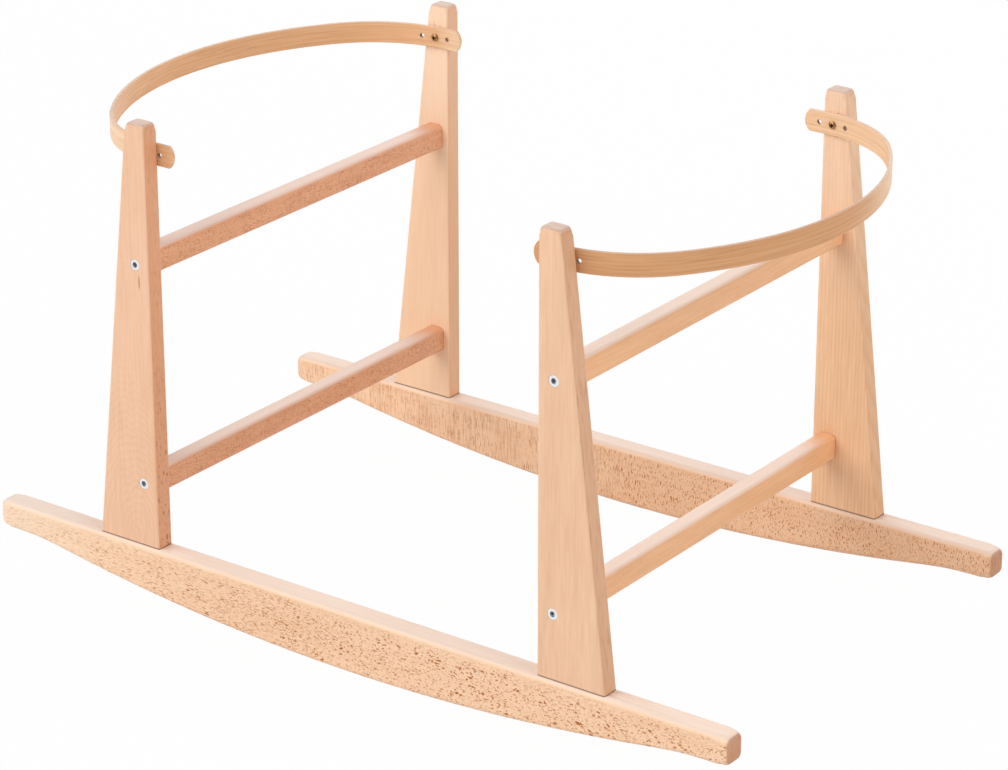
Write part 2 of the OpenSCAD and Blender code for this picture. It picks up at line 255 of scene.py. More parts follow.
def vector_maths(tree, operation, a, b=(0.0, 0.0, 0.0)):
    node = wire(tree, "ShaderNodeVectorMath", {0: a, 1: b}, operation=operation)
    return node.outputs["Value" if operation in ("LENGTH", "DOT_PRODUCT") else "Vector"]


def split(tree, vector):
    return wire(tree, "ShaderNodeSeparateXYZ", {0: vector}).outputs


def smooth_range(tree, value, low, high, out_low=0.0, out_high=1.0):
    node = wire(tree, "ShaderNodeMapRange", {
        "Value": value, "From Min": low, "From Max": high, "To Min": out_low, "To Max": out_high,
    }, interpolation_type="SMOOTHSTEP")
    return node.outputs["Result"]


def mix_colors(tree, factor, a, b, blend="MIX"):
    node = wire(tree, "ShaderNodeMix", {FACTOR: factor, COLOR_A: a, COLOR_B: b},
                data_type="RGBA", blend_type=blend, clamp_factor=True)
    return node.outputs[COLOR_OUT]


print("node helpers ready")

# %% Group helpers
def new_group(name, inputs, outputs):
    tree = bpy.data.node_groups.new(name, "ShaderNodeTree")
    for label, kind, default in inputs:
        socket = tree.interface.new_socket(label, in_out="INPUT", socket_type="NodeSocket" + kind)
        if default is not None:
            socket.default_value = default
    for label, kind in outputs:
        tree.interface.new_socket(label, in_out="OUTPUT", socket_type="NodeSocket" + kind)
    return tree, tree.nodes.new("NodeGroupInput").outputs, tree.nodes.new("NodeGroupOutput").inputs


def place_group(tree, group, inputs):
    return wire(tree, "ShaderNodeGroup", inputs, node_tree=group).outputs


print("group helpers ready")

# %% [markdown]
# ## Growth rings and fibre
# A beech board shows faint growth rings, which make stripes on one face and arches on another. Both come
# from the same thing: the board is a slice of a trunk. So the rings are drawn in three dimensions, as the
# distance from the trunk's middle line, and each face of a board cuts them where it lies. The vector's axes
# are along the grain, along the rings and out from the trunk's middle. Fine fibre and a slow drift of colour
# lie on top, stretched along the grain.

# %% Ring and fibre group
WANDER_STRETCH = (4.0, 30.0, 30.0)
FIBRE_STRETCH = (26.0, 430.0, 430.0)
DRIFT_STRETCH = (7.0, 55.0, 55.0)


def stretched_noise(tree, vector, seed, stretch, detail, low, high):
    scaled = vector_maths(tree, "MULTIPLY", vector_maths(tree, "ADD", vector, seed), stretch)
    noise = wire(tree, "ShaderNodeTexNoise", {
        "Vector": scaled, "Scale": 1.0, "Detail": detail, "Roughness": 0.55,
    })
    return smooth_range(tree, noise.outputs[0], low, high)


rings_group, given, made = new_group("beech_rings", [
    ("Vector", "Vector", None),
    ("Seed", "Vector", None),
    ("Pith Side", "Float", 0.0),
    ("Pith Depth", "Float", 0.06),
    ("Pith Slope", "Float", 0.03),
    ("Ring Width", "Float", 0.0035),
    ("Wander", "Float", 0.003),
], [("Ring", "Float"), ("Fibre", "Float"), ("Drift", "Float")])
axes = split(rings_group, given["Vector"])
wander = stretched_noise(rings_group, given["Vector"], given["Seed"], WANDER_STRETCH, 2.0, 0.2, 0.8)
side = maths(rings_group, "SUBTRACT", axes[1], given["Pith Side"])
pith = maths(rings_group, "MULTIPLY_ADD", axes[0], given["Pith Slope"], given["Pith Depth"])
depth = maths(rings_group, "SUBTRACT", axes[2], pith)
square = maths(rings_group, "MULTIPLY_ADD", side, side, maths(rings_group, "MULTIPLY", depth, depth))
radius = maths(rings_group, "MULTIPLY_ADD", wander, given["Wander"], maths(rings_group, "SQRT", square))
phase = maths(rings_group, "FRACT", maths(rings_group, "DIVIDE", radius, given["Ring Width"]))
rise = smooth_range(rings_group, phase, 0.25, 0.85)
fall = smooth_range(rings_group, phase, 0.88, 1.0, 1.0, 0.0)
rings_group.links.new(maths(rings_group, "MULTIPLY", rise, fall), made["Ring"])
fibre = stretched_noise(rings_group, given["Vector"], given["Seed"], FIBRE_STRETCH, 4.0, 0.25, 0.75)
rings_group.links.new(fibre, made["Fibre"])
drift = stretched_noise(rings_group, given["Vector"], given["Seed"], DRIFT_STRETCH, 3.0, 0.25, 0.75)
rings_group.links.new(drift, made["Drift"])
print("group:", rings_group.name, "with", len(rings_group.nodes), "nodes")

# %% [markdown]
# ## Ray flecks
# What tells beech from other woods is its rays: thin brown ribbons that run from the middle of the trunk
# outwards. A face cut across them shows short dark dashes, and a face cut along them shows bars across the
# grain. One set of columns gives both: a flat Voronoi texture over the first two axes, squeezed so that its
# spots are dashes, which the third axis draws out into ribbons. A noise along that axis ends each ribbon.
# Only some cells are kept, and each has a size of its own, so that the flecks look grown and not stamped.

# %% Ray fleck group
JITTER = (0.7, 0.9, 0.0)
THREADS = (91.0, 77.0)
FLECK_PATCHES = (45.0, 70.0, 70.0)
flecks_group, given, made = new_group("beech_flecks", [
    ("Vector", "Vector", None),
    ("Seed", "Vector", None),
    ("Step Along", "Float", 0.006),
    ("Step Side", "Float", 0.002),
    ("Reach", "Float", 0.01),
    ("Size", "Float", 0.26),
    ("Share", "Float", 0.5),
], [("Mask", "Float")])
step = wire(flecks_group, "ShaderNodeCombineXYZ", {
    0: given["Step Along"], 1: given["Step Side"], 2: given["Reach"],
}).outputs[0]
moved = vector_maths(flecks_group, "ADD", given["Vector"], given["Seed"])
even = vector_maths(flecks_group, "DIVIDE", moved, step)
jitter = wire(flecks_group, "ShaderNodeTexNoise", {"Vector": even, "Scale": 1.7, "Detail": 1.0})
shake = vector_maths(flecks_group, "MULTIPLY", jitter.outputs["Color"], JITTER)
steps = vector_maths(flecks_group, "ADD", even, shake)
cells = wire(flecks_group, "ShaderNodeTexVoronoi", {"Vector": steps, "Scale": 1.0, "Randomness": 1.0},
             voronoi_dimensions="2D", feature="F1")
luck = wire(flecks_group, "ShaderNodeSeparateColor", {0: cells.outputs["Color"]}).outputs
thread = wire(flecks_group, "ShaderNodeCombineXYZ", {
    0: maths(flecks_group, "MULTIPLY", luck[0], THREADS[0]),
    1: maths(flecks_group, "MULTIPLY", luck[1], THREADS[1]),
    2: split(flecks_group, steps)[2],
})
ends = wire(flecks_group, "ShaderNodeTexNoise", {"Vector": thread.outputs[0], "Scale": 1.0, "Detail": 1.0})
whole = smooth_range(flecks_group, ends.outputs[0], 0.36, 0.50)
size = maths(flecks_group, "MULTIPLY", given["Size"], maths(flecks_group, "MULTIPLY_ADD", luck[1], 0.7, 0.5))
inner = maths(flecks_group, "MULTIPLY", size, 0.65)
spot = smooth_range(flecks_group, cells.outputs["Distance"], inner, size, 1.0, 0.0)
kept = maths(flecks_group, "LESS_THAN", luck[0], given["Share"])
patchy = stretched_noise(flecks_group, given["Vector"], given["Seed"], FLECK_PATCHES, 1.0, 0.35, 0.65)
strength = maths(flecks_group, "MULTIPLY", maths(flecks_group, "MULTIPLY_ADD", luck[2], 0.6, 0.4),
                 maths(flecks_group, "MULTIPLY_ADD", patchy, 0.45, 0.55))
shown = maths(flecks_group, "MULTIPLY", whole, maths(flecks_group, "MULTIPLY", kept, strength))
flecks_group.links.new(maths(flecks_group, "MULTIPLY", spot, shown), made["Mask"])
print("group:", flecks_group.name, "with", len(flecks_group.nodes), "nodes")

# %% [markdown]
# ## Ripple
# Where a board is cut along its rays, the bars lie so close that they read as a fine ripple across the grain.
# A noise that is short along the grain and long across it draws that.

# %% Ripple group
RIPPLE_STRETCH, RIPPLE_PATCHES = (760.0, 60.0, 40.0), (35.0, 60.0, 45.0)
ripple_group, given, made = new_group("beech_ripple", [
    ("Vector", "Vector", None),
    ("Seed", "Vector", None),
], [("Mask", "Float")])
fine = stretched_noise(ripple_group, given["Vector"], given["Seed"], RIPPLE_STRETCH, 2.0, 0.40, 0.70)
patchy = stretched_noise(ripple_group, given["Vector"], given["Seed"], RIPPLE_PATCHES, 1.0, 0.30, 0.70)
ripple_group.links.new(maths(ripple_group, "MULTIPLY", fine, patchy), made["Mask"])
print("group:", ripple_group.name, "with", len(ripple_group.nodes), "nodes")

# %% [markdown]
# ## Painted joint shade
# Where two pieces of wood meet, a thin dark line of painted shade stands for the shade in the narrow gap
# between them.
# The group darkens a narrow band round one place on one axis, so it serves the foot of a post and the end of
# a rail alike.

# %% Painted joint shade group
joint_shade_group, given, made = new_group("joint_shade_line", [
    ("Coordinate", "Float", 0.0),
    ("Place", "Float", 0.0),
    ("Width", "Float", 0.001),
], [("Mask", "Float")])
gap = maths(joint_shade_group, "ABSOLUTE", maths(joint_shade_group, "SUBTRACT", given["Coordinate"], given["Place"]))
joint_shade_group.links.new(smooth_range(joint_shade_group, gap, 0.0, given["Width"], 1.0, 0.0), made["Mask"])
print("group:", joint_shade_group.name, "with", len(joint_shade_group.nodes), "nodes")

# %% [markdown]
# ## Dark streaks
# One post shows a short dark streak under a bolt. The group draws an ellipse on the front of a board from its
# middle and its half width and half height.

# %% Streak group
streak_group, given, made = new_group("dark_streak", [
    ("Vector", "Vector", None),
    ("Middle", "Vector", None),
    ("Half Size", "Vector", (0.001, 1.0, 0.005)),
], [("Mask", "Float")])
apart = vector_maths(streak_group, "SUBTRACT", given["Vector"], given["Middle"])
away = vector_maths(streak_group, "LENGTH", vector_maths(streak_group, "DIVIDE", apart, given["Half Size"]))
streak_group.links.new(smooth_range(streak_group, away, 0.4, 1.0, 1.0, 0.0), made["Mask"])
print("group:", streak_group.name, "with", len(streak_group.nodes), "nodes")

# %% [markdown]
# ## Which way the grain runs, and which way a face looks
# A finish measures from the piece's own middle and turns the axes so that the first one runs along the grain.
# Some of its colour depends on the face: end grain drinks the lacquer and looks darker, the side faces of a
# post get a redder painted shade, and whatever faces up gets a painted sheen. The surface's normal tells them
# apart.

# %% Grain
def grain_turned(axis, angles):
    def coordinates(tree, place, middle):
        centred = vector_maths(tree, "SUBTRACT", place, middle)
        return wire(tree, "ShaderNodeMapping", {"Vector": centred, "Rotation": angles}).outputs[0]
    coordinates.axis = axis
    return coordinates


along_x = grain_turned(0, (0, 0, 0))
along_y = grain_turned(1, (0, 0, -math.pi / 2))
along_z = grain_turned(2, (0, math.pi / 2, 0))


def middle_of(node):
    low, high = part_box(node)
    return (low + high) / 2


def rolled(tree, vector, angle):
    node = wire(tree, "ShaderNodeVectorRotate", {"Vector": vector, "Angle": angle}, rotation_type="X_AXIS")
    return node.outputs[0]


print("post middle:", rounded_off(middle_of("front_left_post")))

# %% Faces and places
def normal_part(tree, axis):
    return split(tree, wire(tree, "ShaderNodeNewGeometry").outputs["Normal"])[axis]


def facing(tree, axis, low, high):
    return smooth_range(tree, maths(tree, "ABSOLUTE", normal_part(tree, axis)), low, high)


def off_tops(tree, place):
    return smooth_range(tree, normal_part(tree, 2), 0.05, 0.55, 1.0, 0.0)


def on_edges(tree, place):
    return facing(tree, 0, 0.75, 0.9)


def fade(axis, low, high, *others):
    """A mask that grows from low to high on one axis, times other masks."""
    def mask(tree, place):
        amount = smooth_range(tree, split(tree, place)[axis], low, high)
        for other in others:
            amount = maths(tree, "MULTIPLY", amount, other(tree, place))
        return amount
    return mask


def toned(axis, low, high, tint, strength=1.0, blend="MIX"):
    """Takes the colour towards a tint, from nothing at low to the given strength at high on one axis."""
    def tone(tree, place, color):
        amount = smooth_range(tree, split(tree, place)[axis], low, high, 0.0, strength)
        return mix_colors(tree, amount, color, (*tint, 1), blend)
    return tone


print("masks: tops, edges, fades and tones")

# %% [markdown]
# ## Figure of a board
# The figure is what the wood itself shows: rings, fibre and drift make the colour, and ripple, flecks and dark
# streaks lie on it. Each layer is a mask that mixes in a darker colour, so a piece can have any set of them.
# The flecks are also a little sunk, because they are softer than the wood round them.

# %% Board colour
RING_INPUTS = ("Pith Side", "Pith Depth", "Pith Slope", "Ring Width", "Wander")


def board_color(tree, place, board, seed, pale, dark, rings, weights, ring_mask):
    ring = place_group(tree, rings_group, {"Vector": board, "Seed": seed, **dict(zip(RING_INPUTS, rings))})
    shade = maths(tree, "MULTIPLY", ring["Ring"], weights[0])
    if ring_mask:
        shade = maths(tree, "MULTIPLY", shade, ring_mask(tree, place))
    shade = maths(tree, "MULTIPLY_ADD", ring["Fibre"], weights[1], shade)
    shade = maths(tree, "MULTIPLY_ADD", ring["Drift"], weights[2], shade)
    return mix_colors(tree, shade, (*pale, 1), (*dark, 1)), ring["Fibre"]


print("inputs for the rings:", ", ".join(RING_INPUTS))

# %% Flecks, ripple and streaks
FLECK_DEPTH, STREAK_STRENGTH = 0.4, 0.7


def flecks(along, side, size, share, strength, mask=off_tops, reach=0.02, turn=0):
    shape = {"Step Along": along, "Step Side": side, "Reach": reach, "Size": size, "Share": share}
    return shape, strength, mask, turn


def add_ripple(tree, place, board, seed, color, stain, strength, mask):
    bars = place_group(tree, ripple_group, {"Vector": board, "Seed": seed})["Mask"]
    amount = maths(tree, "MULTIPLY", maths(tree, "MULTIPLY", bars, strength), mask(tree, place))
    return mix_colors(tree, amount, color, stain)


def add_flecks(tree, place, board, seed, color, stain, height, off_end, spots):
    for shape, strength, mask, turn in spots:
        vector = rolled(tree, board, math.radians(turn)) if turn else board
        spot = place_group(tree, flecks_group, {"Vector": vector, "Seed": seed, **shape})["Mask"]
        amount = maths(tree, "MULTIPLY", maths(tree, "MULTIPLY", spot, strength), mask(tree, place))
        amount = maths(tree, "MULTIPLY", amount, off_end)
        color = mix_colors(tree, amount, color, stain)
        height = maths(tree, "MULTIPLY_ADD", amount, -FLECK_DEPTH, height)
    return color, height


def add_streaks(tree, place, color, stain, streaks):
    for middle, half_size in streaks:
        ellipse = {"Vector": place, "Middle": middle, "Half Size": half_size}
        mark = place_group(tree, streak_group, ellipse)["Mask"]
        color = mix_colors(tree, maths(tree, "MULTIPLY", mark, STREAK_STRENGTH), color, stain)
    return color


print("flecks are sunk by", FLECK_DEPTH, "of the bump's depth")

# %% [markdown]
# ## Faces, ends and joints
# What the faces and ends show comes next: a painted sheen on the tops, end grain that is dark and full of
# pores, painted shade on the rounded rim of a post's top, and thin lines of painted shade along the joints.

# %% Painted top sheen, end grain and painted joint shade
# The first colour here is a painted sheen for the tops.
TOP_SHEEN_COLOR = (0.93, 0.80, 0.73, 1)
END_TINT = (0.67, 0.53, 0.49)
PORE_STRETCH, PORE_STRENGTH = (70.0, 700.0, 70.0), 0.22
# This colour is painted shade for the joint lines.
JOINT_SHADE = (0.10, 0.045, 0.02, 1)


# Painted sheen: faces that look up are mixed towards a pale colour.
def paint_top_sheen(tree, place, color, top_sheen, sheen_mask):
    up = smooth_range(tree, normal_part(tree, 2), 0.30, 0.97, 0.0, top_sheen)
    if sheen_mask:
        up = maths(tree, "MULTIPLY", up, sheen_mask(tree, place))
    return mix_colors(tree, up, color, TOP_SHEEN_COLOR)


def darken_ends(tree, place, seed, color, stain, end, end_tint):
    pores = stretched_noise(tree, place, seed, PORE_STRETCH, 2.0, 0.35, 0.75)
    amount = maths(tree, "MULTIPLY", maths(tree, "MULTIPLY", pores, end), PORE_STRENGTH)
    color = mix_colors(tree, amount, color, stain)
    return mix_colors(tree, end, color, (*end_tint, 1), "MULTIPLY")


# Painted shade: the rounded band between a post's top and its faces is multiplied darker.
def paint_rim_shade(tree, color, rim_shade):
    level = normal_part(tree, 2)
    band = maths(tree, "MULTIPLY", smooth_range(tree, level, 0.05, 0.4),
                 smooth_range(tree, level, 0.80, 0.98, 1.0, 0.0))
    return mix_colors(tree, band, color, (*rim_shade, 1), "MULTIPLY")


# Painted shade: a thin dark line along each joint stands for the shade in its gap.
def paint_joint_shade(tree, place, color, joints):
    for axis, spot, width, strength in joints:
        coordinate = maths(tree, "ABSOLUTE", split(tree, place)[axis])
        line = place_group(tree, joint_shade_group, {"Coordinate": coordinate, "Place": spot, "Width": width})["Mask"]
        color = mix_colors(tree, maths(tree, "MULTIPLY", line, strength), color, JOINT_SHADE)
    return color


print("painted top sheen goes towards", TOP_SHEEN_COLOR[:3])

# %% [markdown]
# ## Beech under clear lacquer
# One recipe makes every wooden finish. It rolls the board round its grain so that the third axis points where
# the trunk's rays ran, and then lays on it the figure, its marks, and the painted light and shade. The seed
# shifts the noises, so that no two pieces are cut from the same board. The lacquer is the coat of the
# Principled
# shader: clear and satin, and sunk in on the end grain.

# %% Lacquer
LACQUER, COAT_ROUGHNESS, LACQUER_IOR, SPECULAR = 0.22, 0.3, 1.5, 0.22
WOOD_ROUGHNESS, FIBRE_ROUGHNESS, END_ROUGHNESS = 0.38, 0.16, 0.2
BUMP_STRENGTH, BUMP_DISTANCE = 0.2, 0.0002


def lacquer(tree, color, fibre, end, height):
    shader = tree.nodes["Principled BSDF"]
    tree.links.new(color, shader.inputs["Base Color"])
    rough = maths(tree, "MULTIPLY_ADD", fibre, FIBRE_ROUGHNESS, WOOD_ROUGHNESS)
    tree.links.new(maths(tree, "MULTIPLY_ADD", end, END_ROUGHNESS, rough), shader.inputs["Roughness"])
    tree.links.new(maths(tree, "MULTIPLY_ADD", end, -LACQUER, LACQUER), shader.inputs["Coat Weight"])
    bump = wire(tree, "ShaderNodeBump", {
        "Strength": BUMP_STRENGTH, "Distance": BUMP_DISTANCE, "Height": height,
    })
    tree.links.new(bump.outputs[0], shader.inputs["Normal"])
    shader.inputs["IOR"].default_value = LACQUER_IOR
    shader.inputs["Specular IOR Level"].default_value = SPECULAR
    shader.inputs["Coat Roughness"].default_value = COAT_ROUGHNESS
    shader.inputs["Coat IOR"].default_value = LACQUER_IOR


print("lacquer weight", LACQUER, "roughness", COAT_ROUGHNESS)

# %% Beech recipe
def beech(name, node, grain, roll, seed, colors, rings, weights, spots, joints=(), side_shade=None,
          ring_mask=None, ripple=None, top_sheen=0.6, sheen_mask=None, tones=(), end_tint=END_TINT, rim_shade=None,
          streaks=()):
    """roll: degrees, or a function that gives an angle; colors: pale, dark and that of the flecks;
    rings: pith side, depth, slope, ring width, wander; weights: ring, fibre, drift;
    spots: rows made by flecks(); joints: axis, place, width, strength of painted joint shade; ripple: strength
    and mask;
    top_sheen and sheen_mask: how strong the painted sheen on the tops is, and where; tones: functions that
    change the colour;
    side_shade, end_tint and rim_shade: what the sides (painted shade), the end grain and its rounded rim
    (painted shade) are multiplied by;
    streaks: middle and half size."""
    pale, dark, fleck_color = colors
    stain = (*fleck_color, 1)
    material = bpy.data.materials.new(name)
    material.use_nodes = True
    tree = material.node_tree
    place = wire(tree, "ShaderNodeTexCoord").outputs["Object"]
    angle = roll(tree, place) if callable(roll) else math.radians(roll)
    board = rolled(tree, grain(tree, place, middle_of(node)), angle)
    color, fibre = board_color(tree, place, board, seed, pale, dark, rings, weights, ring_mask)
    height = maths(tree, "MULTIPLY", fibre, 0.5)
    end = facing(tree, grain.axis, 0.50, 0.72)
    off_end = maths(tree, "SUBTRACT", 1.0, end)
    for tone in tones:
        color = tone(tree, place, color)
    if ripple:
        color = add_ripple(tree, place, board, seed, color, stain, *ripple)
    color, height = add_flecks(tree, place, board, seed, color, stain, height, off_end, spots)
    color = add_streaks(tree, place, color, stain, streaks)
    # Painted shade: faces that look along x, a post's sides, are multiplied redder and darker.
    if side_shade:
        color = mix_colors(tree, facing(tree, 0, 0.55, 0.9), color, (*side_shade, 1), "MULTIPLY")
    color = paint_top_sheen(tree, place, color, top_sheen, sheen_mask)
    color = darken_ends(tree, place, seed, color, stain, end, end_tint)
    if rim_shade:
        color = paint_rim_shade(tree, color, rim_shade)
    color = paint_joint_shade(tree, place, color, joints)
    lacquer(tree, color, fibre, end, height)
    return material


def dress(material, *names):
    for name in names:
        for piece in (solids[name], softened_pieces.get(name)):
            if piece:
                piece.data.materials.clear()
                piece.data.materials.append(material)
    print(material.name, "on", len(names), "pieces,", len(material.node_tree.nodes), "nodes")


# %% [markdown]
# ## Rockers
# The front rocker is cut flat to the rings, so its face is sprinkled with dots and dashes. They are thin and
# long at the left, and rounder and bolder to the right, and few near the top edge. Its left tip gets painted
# light. The rear rocker is cut along the rays at its left end, which shows as a ripple across the grain, and
# turns to flecks towards the right, where it gets painted shade.

# %% Front rocker
FRONT_ROCKER = ((1.0, 0.71, 0.49), (0.93, 0.58, 0.35), (0.44, 0.11, 0.0))
low_on_face = fade(2, 0.060, 0.042, off_tops)
# Painted light: the front rocker's left tip is mixed paler.
painted_light_left = toned(0, -0.22, -0.40, (1.0, 0.80, 0.62), 0.5)
front_finish = beech(
    "rocker_beech_front", "front_rocker", along_x, 90, (0.0, 0.0, 0.0), FRONT_ROCKER,
    rings=(0.02, 0.12, 0.02, 0.006, 0.006), weights=(0.0, 0.60, 0.30),
    spots=[
        flecks(0.0085, 0.0014, 0.31, 0.85, 1.40, fade(0, 0.08, -0.18, fade(0, -0.42, -0.26, low_on_face))),
        flecks(0.0055, 0.0011, 0.34, 0.90, 0.60, fade(0, 0.08, -0.18, off_tops)),
        flecks(0.0074, 0.0037, 0.27, 0.80, 1.35, fade(0, -0.22, 0.02, low_on_face)),
        flecks(0.0042, 0.0020, 0.29, 0.90, 1.35, fade(0, -0.25, -0.02, low_on_face)),
        flecks(0.0028, 0.0012, 0.36, 0.95, 0.60, fade(0, -0.25, -0.02, off_tops)),
    ],
    tones=[painted_light_left])
dress(front_finish, "front_rocker")

# %% Rear rocker
REAR_ROCKER = ((1.0, 0.70, 0.475), (0.93, 0.545, 0.315), (0.46, 0.12, 0.0))
# Painted shade: the rear rocker is multiplied darker towards the right.
painted_shade_right = toned(0, -0.15, 0.10, (0.87, 0.83, 0.80), blend="MULTIPLY")


def turning_rays(tree, place):
    return smooth_range(tree, split(tree, place)[0], -0.15, 0.18, math.radians(4), math.radians(26))


rear_finish = beech(
    "rocker_beech_rear", "rear_rocker", along_x, turning_rays, (0.37, 0.22, 0.05), REAR_ROCKER,
    rings=(0.02, 0.10, -0.03, 0.005, 0.004), weights=(0.0, 0.45, 0.35),
    spots=[
        flecks(0.0036, 0.0010, 0.20, 0.35, 0.50, fade(0, 0.05, -0.10, off_tops), reach=0.010),
        flecks(0.0019, 0.0021, 0.29, 0.95, 1.45, fade(0, -0.12, 0.04, off_tops), reach=0.006),
        flecks(0.0014, 0.0013, 0.34, 0.95, 0.80, off_tops, reach=0.005),
    ],
    ripple=(0.36, fade(0, 0.12, -0.04, off_tops)), tones=[painted_shade_right], end_tint=(0.73, 0.60, 0.57))
dress(rear_finish, "rear_rocker")

# %% [markdown]
# ## Posts
# Each post comes from another board. The front left one has a nest of round rings at its foot and a row of
# dark spots on its inner edge, the front right one is smooth, and the rear right one has straight pinstripes,
# because its face was cut across the rings. Both rear posts are paler towards the top.

# %% Posts
# Painted shade along the joint at each post's foot.
FOOT_SHADE = [(2, 0.058, 0.0016, 0.9)]
SPOT_COLOR = (0.40, 0.13, 0.03)
# The second tint is painted shade on the rounded rim of a post's top.
POST_END_TINT, POST_RIM_SHADE = (0.90, 0.89, 0.90), (0.94, 0.88, 0.84)
paler_up = toned(2, 0.22, 0.44, (1.0, 0.80, 0.64), 0.35)
near_foot = fade(2, 0.27, 0.17, lambda tree, place: facing(tree, 1, 0.6, 0.9))
POSTS = {
    "front_left": dict(
        roll=90, seed=(0.1, 0.3, 0.2), colors=((0.93, 0.60, 0.41), (0.81, 0.46, 0.27), SPOT_COLOR),
        rings=(0.008, 0.087, 0.5, 0.0036, 0.009), weights=(0.21, 0.40, 0.30), ring_mask=near_foot,
        spots=[flecks(0.010, 0.0050, 0.25, 0.85, 0.85, fade(2, 0.28, 0.18, on_edges), turn=90),
               flecks(0.012, 0.0014, 0.32, 0.85, 0.40, on_edges, turn=90),
               flecks(0.005, 0.0012, 0.25, 0.5, 0.15)],
        side_shade=(0.90, 0.71, 0.59), streaks=[((-0.2206, -0.227, 0.3135), (0.0012, 0.005, 0.0085))]),
    "front_right": dict(
        roll=90, seed=(0.9, 0.5, 0.3), colors=((0.94, 0.615, 0.415), (0.79, 0.475, 0.285), SPOT_COLOR),
        rings=(0.0, 0.14, 0.01, 0.007, 0.004), weights=(0.10, 0.50, 0.35),
        spots=[flecks(0.030, 0.0024, 0.32, 0.80, 0.40, on_edges, turn=90),
               flecks(0.004, 0.0012, 0.25, 0.5, 0.10)],
        side_shade=(0.86, 0.77, 0.70)),
    "rear_left": dict(
        roll=90, seed=(1.7, 0.4, 0.6), colors=((1.0, 0.69, 0.46), (0.92, 0.58, 0.36), SPOT_COLOR),
        rings=(0.0, 0.13, 0.01, 0.006, 0.004), weights=(0.12, 0.45, 0.30),
        spots=[], side_shade=(0.87, 0.73, 0.65), tones=[paler_up]),
    "rear_right": dict(
        roll=15, seed=(2.3, 0.2, 0.8), colors=((0.95, 0.62, 0.385), (0.78, 0.43, 0.225), SPOT_COLOR),
        rings=(0.0, 0.15, 0.004, 0.0036, 0.002), weights=(0.26, 0.40, 0.25),
        spots=[flecks(0.004, 0.0012, 0.25, 0.5, 0.10)], side_shade=(0.92, 0.86, 0.81), tones=[paler_up]),
}
for corner, look in POSTS.items():
    finish = beech("post_beech_" + corner, corner + "_post", along_z, joints=FOOT_SHADE, end_tint=POST_END_TINT,
                   rim_shade=POST_RIM_SHADE, **look)
    dress(finish, corner + "_post")

# %% [markdown]
# ## Rails
# The rails are small square bars. Those at the left are redder and full of short dashes along their length,
# the upper one with some ripple in its middle, and those at the right are plain.

# %% Rails
# Painted shade along the joints at the rail ends.
RAIL_END_SHADE = [(1, 0.209, 0.0010, 0.6)]
RED_RAIL = ((0.90, 0.46, 0.26), (0.74, 0.33, 0.165), (0.34, 0.06, 0.0))
PLAIN_RAIL = ((0.96, 0.54, 0.29), (0.82, 0.42, 0.20), (0.40, 0.16, 0.06))
mid_ripple = (0.30, fade(1, -0.06, 0.0, fade(1, 0.15, 0.08, off_tops)))
# Painted reflection: the painted sheen on the rail tops fades out near the posts, where the tops mirror the
# brown posts.
sheen_off_near_posts = fade(1, 0.207, 0.160)
RAILS = {
    "left_lower": (88, (0.2, 0.6, 0.1), RED_RAIL, 1.00, None),
    "left_upper": (84, (1.2, 0.1, 0.7), RED_RAIL, 1.00, mid_ripple),
    "right_lower": (70, (2.2, 0.9, 0.4), PLAIN_RAIL, 0.20, None),
    "right_upper": (70, (3.2, 0.3, 0.2), PLAIN_RAIL, 0.20, None),
}
for row, (roll, seed, colors, speckle, ripple) in RAILS.items():
    finish = beech(
        "rail_beech_" + row, row + "_rail", along_y, roll, seed, colors,
        rings=(0.03, 0.09, 0.01, 0.004, 0.003), weights=(0.0, 0.45, 0.35),
        spots=[
            flecks(0.0034, 0.0012, 0.29, 0.90, speckle),
            flecks(0.0070, 0.0012, 0.26, 0.70, 0.6 * speckle),
            flecks(0.0024, 0.0010, 0.36, 0.90, 0.5 * speckle),
        ],
        joints=RAIL_END_SHADE, ripple=ripple, top_sheen=0.68, sheen_mask=sheen_off_near_posts)
    dress(finish, row + "_rail")

# %% [markdown]
# ## Hoops
# The hoops are strips of steamed beech. Their grain follows the bend, so the recipe needs a coordinate that
# follows it too: the angle round the hoop takes the place of the straight axis, drawn out so that the streaks
# are long. The two strips differ in painted light and shade: the left one has painted light outside its bend
# and inside its ends, and the right one has browner painted shade on the front of its outer face. The walls of
# the holes have painted shade.

# %% Grain along the bend
BEND_X, BEND_DRAWN = 0.18, 0.06


def along_bend(tree, place, middle):
    axes = split(tree, place)
    out = maths(tree, "SUBTRACT", maths(tree, "ABSOLUTE", axes[0]), BEND_X)
    along = maths(tree, "MULTIPLY", maths(tree, "ARCTAN2", axes[1], out), BEND_DRAWN)
    height = maths(tree, "SUBTRACT", axes[2], middle.z)
    return wire(tree, "ShaderNodeCombineXYZ", {0: along, 1: height}).outputs[0]


along_bend.axis = 2
print("hoop grain turns round x =", BEND_X)

# %% Painted light and shade on a bend and in its holes
FACE_BLEND = 0.04
SCREW_X, SCREW_Z, HOLE_PITCH = 0.221, 0.429, 0.014
# The dark ring round each hole is painted shade on the hole's wall.
HOLE_SHADE_INNER, HOLE_SHADE_OUTER, HOLE_SHADE_STRENGTH = 0.00230, 0.00245, 0.75
HOLE_SHADE = (0.16, 0.06, 0.02, 1)


